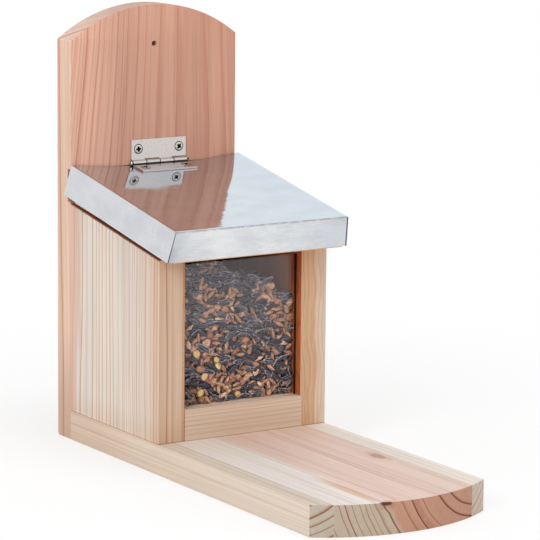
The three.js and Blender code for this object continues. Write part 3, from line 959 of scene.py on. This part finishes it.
# %% Sizes of the hinge
LEAF_LEFT, LEAF_WIDTH = -16.3 * MM, 38.4 * MM
LEAF_RIGHT, LEAF_MIDDLE = LEAF_LEFT + LEAF_WIDTH, LEAF_LEFT + LEAF_WIDTH / 2
LEAF_REACH, LEAF_THICKNESS = 14 * MM, 0.9 * MM
BARREL_RADIUS = 1.6 * MM
LEAF_FACE = BARREL_RADIUS - LEAF_THICKNESS
KNUCKLES, KNUCKLE_GAP, CURL_STEPS, CURL_ANGLE = 4, 0.5 * MM, 20, math.radians(318)
LEAF_FOOT = BARREL_RADIUS + KNUCKLE_GAP
SCREW_FROM_EDGE, SCREW_FROM_PIN = 4.9 * MM, 8.2 * MM
SCREW_X = (LEAF_LEFT + SCREW_FROM_EDGE, LEAF_RIGHT - SCREW_FROM_EDGE)
HOLE_FRONT, HOLE_REAR, HOLE_DEPTH, HOLE_SUNK = 1.8 * MM, 3.15 * MM, 1.4 * MM, 0.65 * MM
print("knuckles are", round(LEAF_WIDTH / KNUCKLES / MM - KNUCKLE_GAP / MM, 2), "mm long")


# %% Cut and curl the tongues
def curl_tongues(leaf, first):
    step = LEAF_WIDTH / KNUCKLES
    tongues = []
    for i in range(KNUCKLES):
        ends = LEAF_LEFT + i * step + KNUCKLE_GAP / 2, LEAF_LEFT + (i + 1) * step - KNUCKLE_GAP / 2
        for x in ends:
            bpy.ops.mesh.select_all(action="SELECT")
            bpy.ops.mesh.bisect(plane_co=(x, 0, 0), plane_no=(1, 0, 0))
        if i % 2 == first:
            tongues.append(ends)

    def under_tongue(face):
        return face.normal.z < -0.9 and any(a < face.calc_center_median().x < b for a, b in tongues)

    pick_kind("FACE")
    pick(leaf, "faces", under_tongue)
    extrude(0, 0, -LEAF_FOOT)
    bpy.ops.mesh.spin(steps=CURL_STEPS, angle=CURL_ANGLE, center=(0, 0, 0), axis=(-1, 0, 0))
    pick_kind("FACE", selected=True)
    bpy.ops.mesh.remove_doubles(threshold=WELD)
    bpy.ops.mesh.normals_make_consistent(inside=False)


# %% [markdown]
# Painted shade darkens the screw holes and the knuckle ends, and a dark band is painted along each knuckle:
# a painted reflection on the upper leaf and painted shade at the crease on the lower leaf. The lower leaf is
# a mirrored copy of the same steps, and its plate stands a little higher, on the sheet.


# %% Painted shade on a leaf
# Painted shade: holes and knuckle ends turn black, and a band of each knuckle is a painted reflection or
# crease shade
def leaf_painted_shade(face, facing):
    x, y, z = face.center
    near = min(math.hypot(x - at, z - SCREW_FROM_PIN) for at in SCREW_X)
    if near < 3.2 * MM and abs(face.normal.y) < 0.95:
        return 1.0
    if z >= BARREL_RADIUS:
        return 0.0
    if abs(face.normal.x) > 0.5:
        return 1.0
    away = math.degrees(math.atan2(-z * facing, -y))
    return 0.75 if (6 < away < 44 if facing > 0 else 84 < away < 118) else 0.0


# %% Make a leaf
def curl_leaf(name, first, facing):
    leaf = primitive(name, "cube", size=1)
    middle = (LEAF_MIDDLE, BARREL_RADIUS - LEAF_THICKNESS / 2, (LEAF_REACH + LEAF_FOOT) / 2)
    put(leaf, middle, size=(LEAF_WIDTH, LEAF_THICKNESS, LEAF_REACH - LEAF_FOOT))
    edit(leaf)
    curl_tongues(leaf, first)
    done()
    for x in SCREW_X:
        cone = {"radius1": HOLE_FRONT, "radius2": HOLE_REAR, "depth": HOLE_DEPTH}
        cutter = primitive("cutter", "cone", vertices=32, **cone)
        put(cutter, (x, LEAF_FACE + HOLE_SUNK, SCREW_FROM_PIN), (math.pi / 2, 0, 0))
        cut_away(leaf, cutter, "Screw hole")
    edges = {"width": 0.12 * MM, "segments": 2, "limit_method": "ANGLE", "angle_limit": math.radians(50)}
    apply_modifier(leaf, "Pressed edge", "BEVEL", **edges)
    write_painted_shade(leaf, lambda face: leaf_painted_shade(face, facing))
    if facing < 0:
        for vertex in leaf.data.vertices:
            if vertex.co.y > BARREL_RADIUS - 0.14 * MM and vertex.co.z > LEAF_FOOT + 0.05 * MM:
                vertex.co.y += 0.2 * MM
        leaf.data.transform(Matrix.Scale(-1, 4, (0, 1, 0)))
        leaf.data.flip_normals()
    smooth(leaf, 35)
    apply_modifier(leaf, "Even shine", "WEIGHTED_NORMAL", weight=100, keep_sharp=True)
    print(name, "has", len(leaf.data.polygons), "faces")
    return leaf


# %% Hang the leaves on the pin's axis
PIN_Y, PIN_Z = 132.65 * MM, 167.673 * MM
PIN_ALONG_LID, PIN_ABOVE_SHEET = -0.797 * MM, 1.9 * MM
pin_place = Matrix.Translation((0, PIN_Y, PIN_Z))
on_lid = Matrix.Translation((0, PIN_ALONG_LID, PIN_ABOVE_SHEET))
lower_place = lid_place @ on_lid @ Matrix.Rotation(math.pi / 2, 4, "X")

upper_leaf = curl_leaf("hinge_leaf_upper_curled", 0, 1)
upper_leaf.data.transform(pin_place)
ride_as(upper_leaf, "feeder", ("hinge_leaf_upper",), hinge_metal)
lower_leaf = curl_leaf("hinge_leaf_lower_curled", 1, -1)
lower_leaf.data.transform(lower_place)
ride_as(lower_leaf, "lid", ("hinge_leaf_lower",), hinge_metal)

# %% [markdown]
# The pin is a plain rod with a low domed head at its left end. A cylinder makes the rod, and its end face is
# widened, moved out and narrowed in two steps to dome the head.

# %% Hinge pin
PIN_RADIUS, PIN_LENGTH, PIN_SHIFT = 0.72 * MM, LEAF_WIDTH + 1.65 * MM, 0.575 * MM
pin = primitive("hinge_pin_domed", "cylinder", vertices=24, radius=PIN_RADIUS, depth=PIN_LENGTH)
put(pin, (LEAF_MIDDLE + PIN_SHIFT, 0, 0), (0, math.pi / 2, 0))
edit(pin)
pick(pin, "faces", lambda face: face.normal.x < -0.9)
for wider, push in ((1.8, 0.02), (1, 0.4), (0.85, 0.3), (0.6, 0.14)):
    extrude(-push * MM, 0, 0)
    resize(1, wider, wider)
done()
# Painted shade: the pin is dark between the leaves, where it shows in the gaps between the knuckles
write_painted_shade(pin, lambda face: LEAF_LEFT < face.center.x < LEAF_RIGHT)
pin.data.transform(pin_place)
smooth(pin, 40)
ride_as(pin, "feeder", ("hinge_pin",), hinge_metal)
print("pin has", len(pin.data.polygons), "faces")

# %% [markdown]
# Each hinge screw has a shallow domed head with a cross pressed into it. The head is a short cylinder whose
# top is inset and raised, its shank is extruded from below, and the cross is cut with two slim wedges.

# %% Sizes of the hinge screws
HEAD_RADIUS, HEAD_EDGE = 2.6 * MM, 0.3 * MM
DOME_STEPS = ((0.35, 0.16), (0.5, 0.12), (0.6, 0.06))
NECK, SHANK, TIP = 1.1 * MM, 7.6 * MM, 3 * MM
CROSS_SIZE, CROSS_HEIGHT = (4.8 * MM, 1.9 * MM, 2.2 * MM), 0.2 * MM
CROSS_TURNS, HEAD_SUNK = {"left": 0.12, "right": 0.9}, 0.04 * MM
print("screws are", round((NECK + SHANK + TIP) / MM, 1), "mm long below the head")


# %% Make a hinge screw
# Painted shade: the pressed cross turns nearly black
def screw_painted_shade(face):
    x, y, z = face.center
    sunk = face.normal.z < 0.8 or z < 0.1 * MM
    return math.hypot(x, y) < 2 * MM and sunk and z > -1.2 * MM


def hinge_screw(name):
    screw = primitive(name, "cylinder", vertices=32, radius=HEAD_RADIUS, depth=HEAD_EDGE)
    put(screw, (0, 0, -HEAD_EDGE / 2))
    edit(screw)
    pick(screw, "faces", lambda face: face.normal.z > 0.9)
    for rim, lift in DOME_STEPS:
        bpy.ops.mesh.inset(thickness=rim * MM)
        bpy.ops.transform.translate(value=(0, 0, lift * MM))
    pick_kind("FACE")
    pick(screw, "faces", lambda face: face.normal.z < -0.9)
    for depth, narrower in ((NECK, 0.54), (SHANK, 1), (TIP, 0.1)):
        extrude(0, 0, -depth)
        resize(narrower, narrower, 1)
    done()
    for turned in (0, math.pi / 2):
        cutter = primitive("cutter", "cube", size=1)
        put(cutter, (0, 0, CROSS_HEIGHT), (0, 0, turned), CROSS_SIZE)
        edit(cutter)
        pick(cutter, "faces", lambda face: face.normal.z < -0.9)
        resize(0.4, 0.3, 1)
        done()
        cut_away(screw, cutter, "Cross")
    write_painted_shade(screw, screw_painted_shade)
    smooth(screw, 40)
    return screw


# %% Drive the hinge screws
leaves = (("upper", "feeder", pin_place, 1), ("lower", "lid", lower_place, -1))
for side, x in zip(CROSS_TURNS, SCREW_X):
    for leaf, body, place, facing in leaves:
        label = "hinge_screw_" + leaf + "_" + side
        screw = hinge_screw(label + "_domed")
        seat = Matrix.Translation((x, facing * (LEAF_FACE - HEAD_SUNK), SCREW_FROM_PIN))
        turned = Matrix.Rotation(facing * math.pi / 2, 4, "X") @ Matrix.Rotation(CROSS_TURNS[side], 4, "Z")
        screw.data.transform(place @ seat @ turned)
        ride_as(screw, body, (label,), screw_metal)
        print(label, "has", len(screw.data.polygons), "faces")

# %% [markdown]
# ## Wood screws and window
# The wood screws sit in the back and the underside, where the frame's own shapes are right, so they only
# get a plated finish. The window keeps its shape too. It is clear plastic, painted dark at its two side
# edges as painted shade, smeared in places and glossier higher up, and it lets the lamps through to the feed
# by turning transparent for rays that look for a lamp.

# %% Finish of the frame's own screws
for name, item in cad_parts.items():
    if name.startswith(("back_screw", "shelf_screw")):
        dress(item, steel)
        print(name, "is plated")


# %% Finish of the window
def window_plastic():
    material, tree, shader = finish("Clear window", {"Transmission Weight": 1.0, "IOR": 1.16})
    place = node(tree, "TexCoord")["Object"]
    x, _, z = split(place)
    # Painted shade: the two side edges of the pane are dark brown
    colour = blend(rise(abs(x), 0.0396, 0.0399), tint(250, 249, 253), tint(70, 48, 38))
    smear = rise(grain(place, (60, 60, 25), 3.0), 0.45, 0.8, 0.0, 0.04)
    coat = rise(z, 0.045, 0.108, 0.0, 0.78)
    plug(shader, {"Base Color": colour, "Roughness": smear, "Coat Weight": coat})
    to_lamp = node(tree, "LightPath")["Is Shadow Ray"]
    through = node(tree, "BsdfTransparent", {"Color": (0.93, 0.93, 0.93, 1)})[0]
    mixed = node(tree, "MixShader", {0: to_lamp, 1: Wire(shader.outputs[0]), 2: through})[0]
    plug(tree.nodes["Material Output"], {"Surface": mixed})
    return material


clear_pane = window_plastic()
dress(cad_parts["window_pane"], clear_pane)
print(clear_pane.name, "has", len(clear_pane.node_tree.nodes), "nodes")

# %% [markdown]
# ## Feed
# The box holds a mix of striped sunflower seeds, nut kernels, grain, pale flakes and crumbs. The window
# shows their outer layer, and the rest is a bed that fills the box. Five small shapes are modelled once,
# with few faces, and then repeated in code at many places, which are given in millimetres.


# %% Seed shapes
def seed_shape(name, long, wide, thick, point, flat, segments=8, rings=6):
    seed = primitive(name, "uv_sphere", segments=segments, ring_count=rings, radius=0.5)
    put(seed, (0, 0, 0), (0, math.pi / 2, 0))
    points = []
    for vertex in seed.data.vertices:
        along, side, up = vertex.co * 2
        taper = 1 - point * (0.5 + along / 2) ** 1.5
        up = math.copysign(abs(up) ** flat, up)
        points.append((along * long / 2, side * taper * wide / 2, up * taper * thick / 2))
    faces = [tuple(face.vertices) for face in seed.data.polygons]
    bpy.data.objects.remove(seed)
    return np.array(points) * MM, faces


shapes = {
    "sunflower": seed_shape("sunflower", 11.6, 4.3, 2.6, 0.66, 1.0, 10, 7),
    "kernel": seed_shape("kernel", 6.8, 5.2, 3.6, 0.15, 0.8),
    "grain": seed_shape("grain", 6.4, 2.6, 2.2, 0.3, 1.0),
    "flake": seed_shape("flake", 5.6, 4.6, 1.5, 0.1, 0.6),
    "crumb": seed_shape("crumb", 2.6, 1.6, 1.2, 0.3, 0.8, 6, 4),
}
REACH = {"sunflower": 2.7, "kernel": 2.7, "grain": 1.9, "flake": 2.5, "crumb": 0.9}
print({name: len(faces) for name, (points, faces) in shapes.items()})

# %% [markdown]
# The feed lies heaped against the window, highest at the left, and it falls away to the right and to the
# rear. Kernels and grain lie in clusters among the sunflower seeds, and the pale flakes lie low in the heap.
# A seed is only placed where no other lies too close, and each layer further back is filled the same way.

# %% Where the feed lies
INNER_X = 40.0
PANE_REAR, PANE_TOP, RAIL_REAR, RAIL_TOP, WALL = 36.75, 121.2, 47.25, 36.7, 134.25
HEAP_TOP, FALL_TO_REAR, FALL_TO_RIGHT = 121.0, 0.3, ((-14, 0.42), (20, 0.1))
CROWDING, UPRIGHT_ROOM = 0.84, 1.35
draw = random.Random(11)


def heap(x, y):
    fall = sum(slope * max(0.0, x - start) for start, slope in FALL_TO_RIGHT)
    return HEAP_TOP - fall - FALL_TO_REAR * (y - PANE_REAR) + 1.5 * math.sin(x * 0.21 + y * 0.13)


def kind_of_seed(u, v):
    cluster = noise.noise(Vector((u * 0.06, v * 0.07, 3.7)))
    rising = max(0.0, min(1.0, (75 - v) / 40)) * 0.1 - max(0.0, min(1.0, (v - 98) / 12)) * 0.16
    chance = draw.random() - 0.75 * cluster - rising
    if chance < 0.02 and v < 80 and draw.random() < 0.25:
        return "flake"
    for name, limit in (("kernel", 0.12), ("grain", 0.38)):
        if chance < limit:
            return name
    return "sunflower"


def scatter(spot, tries):
    placed = []

    def has_room(u, v, kind):
        for a, b, other in placed:
            if math.hypot(u - a, (v - b) * UPRIGHT_ROOM) <= (REACH[kind] + REACH[other]) * CROWDING:
                return False
        return True

    for _ in range(tries):
        u, v = spot()
        kind = kind_of_seed(u, v)
        if has_room(u, v, kind):
            placed.append((u, v, kind))
    return placed


print("the heap is", round(heap(-INNER_X, PANE_REAR), 1), "mm high at the left")

# %% [markdown]
# Behind the window the seeds lie flat against the pane, most of the sunflower seeds nearly level, and the
# layers behind them lie more loosely. Crumbs fill the gaps and gather low down. On top of the heap, which
# shows when the lid is open, the seeds lie any way round.


# %% Places and turns of the seeds
def turned(x, y, z):
    return Euler((math.radians(x), math.radians(y), math.radians(z)))


def window_spot():
    x = draw.uniform(-INNER_X + 1.0, INNER_X - 1.0)
    return x, draw.uniform(RAIL_TOP + 1.2, heap(x, PANE_REAR) - 1.0)


def top_spot():
    return draw.uniform(-INNER_X + 2, INNER_X - 2), draw.uniform(PANE_REAR + 9, WALL - 3)


# %% Fill the window, the gaps and the top
WINDOW_LAYERS, WINDOW_TRIES, WINDOW_STEP = 4, 6500, 2.2
TOP_LAYERS, TOP_TRIES, TOP_STEP = 2, 5200, 2.6
CRUMBS = 800
seeds = []
for layer in range(WINDOW_LAYERS):
    for x, z, kind in scatter(window_spot, WINDOW_TRIES):
        tilt = draw.gauss(9, 20) if kind == "sunflower" else draw.gauss(0, 50)
        flip = 180 if draw.random() < 0.5 else 0
        turn = turned(90 + draw.gauss(0, 14), tilt + flip, draw.gauss(0, 7 + 3 * layer))
        y = PANE_REAR + 0.15 + layer * WINDOW_STEP + draw.uniform(0, 0.6)
        seeds.append((kind, (x, y, z), turn, "front"))
for _ in range(CRUMBS):
    x = draw.uniform(-INNER_X + 1.0, INNER_X - 1.0)
    z = RAIL_TOP + 0.8 + (heap(x, PANE_REAR) - RAIL_TOP - 2) * draw.random() ** 1.35
    turn = Euler([draw.uniform(0, 2 * math.pi) for _ in range(3)])
    seeds.append(("crumb", (x, PANE_REAR + 0.1 + draw.uniform(0, 3.2), z), turn, "front"))
for layer in range(TOP_LAYERS):
    for x, y, kind in scatter(top_spot, TOP_TRIES):
        turn = turned(draw.gauss(0, 18), draw.gauss(0, 18), draw.uniform(0, 360))
        seeds.append((kind, (x, y, heap(x, y) - TOP_STEP * layer), turn, "top"))
print(len(seeds), "seeds")

# %% [markdown]
# Each vertex keeps its own place in the seed, its seed's tone and whether it is chipped, as attributes. So
# one finish can paint every seed a little differently: mottled, darker towards its rim as painted shade,
# striped where it is a husk, and pale where it is chipped.


# %% Finish of the seeds
def seed_finish(name, light, dark, stripe=None, cut=None, rough=0.5):
    material, tree, shader = finish(name, {"Specular IOR Level": 0.3})
    inside = node(tree, "Attribute", attribute_name="inside")["Vector"]
    tone = node(tree, "Attribute", attribute_name="tone")["Fac"]
    outward = length(inside * (1.0, 1.0, 0.0))
    patch = grain(inside + join(tone, tone, tone) * (37.0, 53.0, 71.0), (1.6, 3.0, 3.0), 4.0)
    mottled = blend(rise(patch, 0.35, 0.62), tint(*dark), tint(*light))
    colour = blend(0.55, blend(tone, tint(*dark), tint(*light)), mottled)
    if stripe:
        wave = maths("SINE", split(inside)[1] * 10.5)
        rim = rise(outward, 0.7, 0.8) * rise(outward, 0.84, 0.92, 1.0, 0.0)
        lines = greater(rise(wave, 0.86, 0.99) * rise(patch, 0.4, 0.56), rim * rise(patch, 0.34, 0.5))
        colour = blend(lines * rise(tone, 0.1, 0.8, 0.2, 1.0), colour, tint(*stripe))
    # Painted shade: each seed darkens towards its rim
    colour = blend(rise(outward, 0.72, 1.0, 0.0, 0.8), colour, tint(96, 70, 60), "MULTIPLY")
    if cut:
        broken = node(tree, "Attribute", attribute_name="broken")["Fac"]
        colour = blend(broken * rise(patch, 0.3, 0.6, 0.5, 1.0), colour, tint(*cut))
    gloss = rise(patch, 0.2, 0.8, rough - 0.1, rough + 0.12)
    plug(shader, {"Base Color": colour, "Roughness": gloss, "Normal": bump(patch, 0.7, 0.0004)})
    return material


finishes = {
    "sunflower": seed_finish("Sunflower husk", (58, 55, 73), (18, 16, 24), (214, 210, 210), rough=0.42),
    "kernel": seed_finish("Nut kernel", (204, 148, 112), (130, 84, 62), cut=(227, 184, 150)),
    "grain": seed_finish("Grain", (210, 160, 126), (106, 70, 58), cut=(234, 196, 158)),
    "flake": seed_finish("Pale flake", (236, 204, 140), (206, 158, 96), rough=0.6),
    "crumb": seed_finish("Crumbs", (216, 178, 140), (46, 36, 34), rough=0.6),
}
print("seed finishes:", [material.name for material in finishes.values()])

# %% [markdown]
# The seeds differ in size, most kernels and some grains are chipped flat on one side, and kernels and
# crumbs are uneven. A seed at the window is moved back until it lies behind the front of its layer, and
# what would reach past the box is pressed flat against it. All seeds of a kind make one piece.

# %% Chip and lay a seed
CHIPPED, UNEVEN = {"kernel": 0.75, "grain": 0.3}, ("kernel", "crumb")


def chip(shape):
    way = Vector((draw.uniform(-1, 1), draw.uniform(-1, 1), draw.uniform(0.1, 1))).normalized()
    along = shape @ np.array(way)
    beyond = along - draw.uniform(0.1, 0.55) * np.abs(along).max()
    return shape - np.outer(np.maximum(beyond, 0), np.array(way)), (beyond > 0).astype(float)


def lay(kind, points, reach, spot, turn, where):
    scale = draw.uniform(0.8, 1.18)
    shape = points * scale * np.array([draw.uniform(0.85, 1.12), draw.uniform(0.85, 1.12), 1.0])
    broken = np.zeros(len(points))
    if draw.random() < CHIPPED.get(kind, 0.0):
        shape, broken = chip(shape)
    if kind in UNEVEN:
        shape = shape + reach * 0.12 * np.array([[draw.uniform(-1, 1) for _ in range(3)] for _ in points])
    shape = shape @ np.array(turn.to_matrix()).T
    spot = np.array(spot) * MM
    if where == "front":
        spot[1] -= shape[:, 1].min()
    laid = shape + spot
    laid[:, 0] = np.clip(laid[:, 0], -INNER_X * MM, INNER_X * MM)
    if where == "front":
        laid[:, 2] = np.clip(laid[:, 2], (RAIL_TOP + 0.05) * MM, PANE_TOP * MM)
    return laid, broken


# %% Lay the seeds, kind by kind
for kind, (points, faces) in shapes.items():
    all_points, all_faces, tones, insides, breaks = [], [], [], [], []
    reach = np.abs(points).max(axis=0)
    for name, spot, turn, where in seeds:
        if name != kind:
            continue
        laid, broken = lay(kind, points, reach, spot, turn, where)
        start = len(points) * len(all_points)
        all_points.append(laid)
        all_faces += [tuple(index + start for index in face) for face in faces]
        tones += [draw.random()] * len(points)
        insides.append(points / reach)
        breaks.append(broken)
    mesh = bpy.data.meshes.new("feed_" + kind)
    mesh.from_pydata(np.concatenate(all_points).tolist(), [], all_faces)
    write(mesh, "tone", "FLOAT", "POINT", tones)
    write(mesh, "broken", "FLOAT", "POINT", np.concatenate(breaks))
    write(mesh, "inside", "FLOAT_VECTOR", "POINT", np.concatenate(insides).ravel())
    piece = add("feed_" + kind, mesh)
    smooth(piece, 50)
    ride_as(piece, "feeder", (), finishes[kind])
    print(piece.name, "has", len(mesh.polygons), "faces")

# %% [markdown]
# The bed is a finely divided block whose top follows the heap a little below it. Its finish breaks the
# surface into dark and pale cells, which pass for seeds between the seeds.

# %% Bed of feed behind the window
BED_FOOT, BED_HEIGHT, BED_MIDDLE, BED_CLEAR, BED_BELOW = 18.2, 100, 68.2, 0.4, 5
bed = primitive("feed_bed", "cube", size=1)
bed_size = ((2 * INNER_X - BED_CLEAR) * MM, (WALL - RAIL_REAR - BED_CLEAR) * MM, BED_HEIGHT * MM)
put(bed, (0, (WALL + RAIL_REAR) / 2 * MM, BED_MIDDLE * MM), size=bed_size)
edit(bed, selected=True)
bpy.ops.mesh.subdivide(number_cuts=31)
done()
for vertex in bed.data.vertices:
    x, y, z = vertex.co / MM
    share = (z - BED_FOOT) / BED_HEIGHT
    lump = noise.noise(Vector((x, y, z)) * 0.35)
    vertex.co.z = (BED_FOOT + share * (heap(x, y) - BED_BELOW - BED_FOOT) + share * lump * 1.6) * MM
smooth(bed, 60)
print("bed has", len(bed.data.polygons), "faces")


# %% Finish of the bed
def bed_finish():
    material, tree, shader = finish("Bed of feed")
    cells = node(tree, "TexVoronoi", {"Vector": node(tree, "TexCoord")["Object"], "Scale": 190.0})
    share = rise(split(cells["Color"])[0], 0.6, 0.66)
    colour = blend(share, tint(24, 23, 26), tint(112, 72, 48))
    rough = rise(cells["Distance"], 0.0, 0.8, 0.5, 0.8)
    relief = bump(cells["Distance"], 1.0, 0.002, invert=True)
    plug(shader, {"Base Color": colour, "Roughness": rough, "Normal": relief})
    return material


bed_mix = bed_finish()
ride_as(bed, "feeder", (), bed_mix)
print(bed_mix.name, "has", len(bed_mix.node_tree.nodes), "nodes")

# %% [markdown]
# ## Measure and finish
# The dressed feeder has to stay as large as the frame. Both boxes are written down: the frame's at the
# start, and the dressed feeder's by the last line.

# %% Size and finish
low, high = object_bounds()
print("the dressed feeder is", [round((b - a) / MM, 1) for a, b in zip(low, high)], "mm")
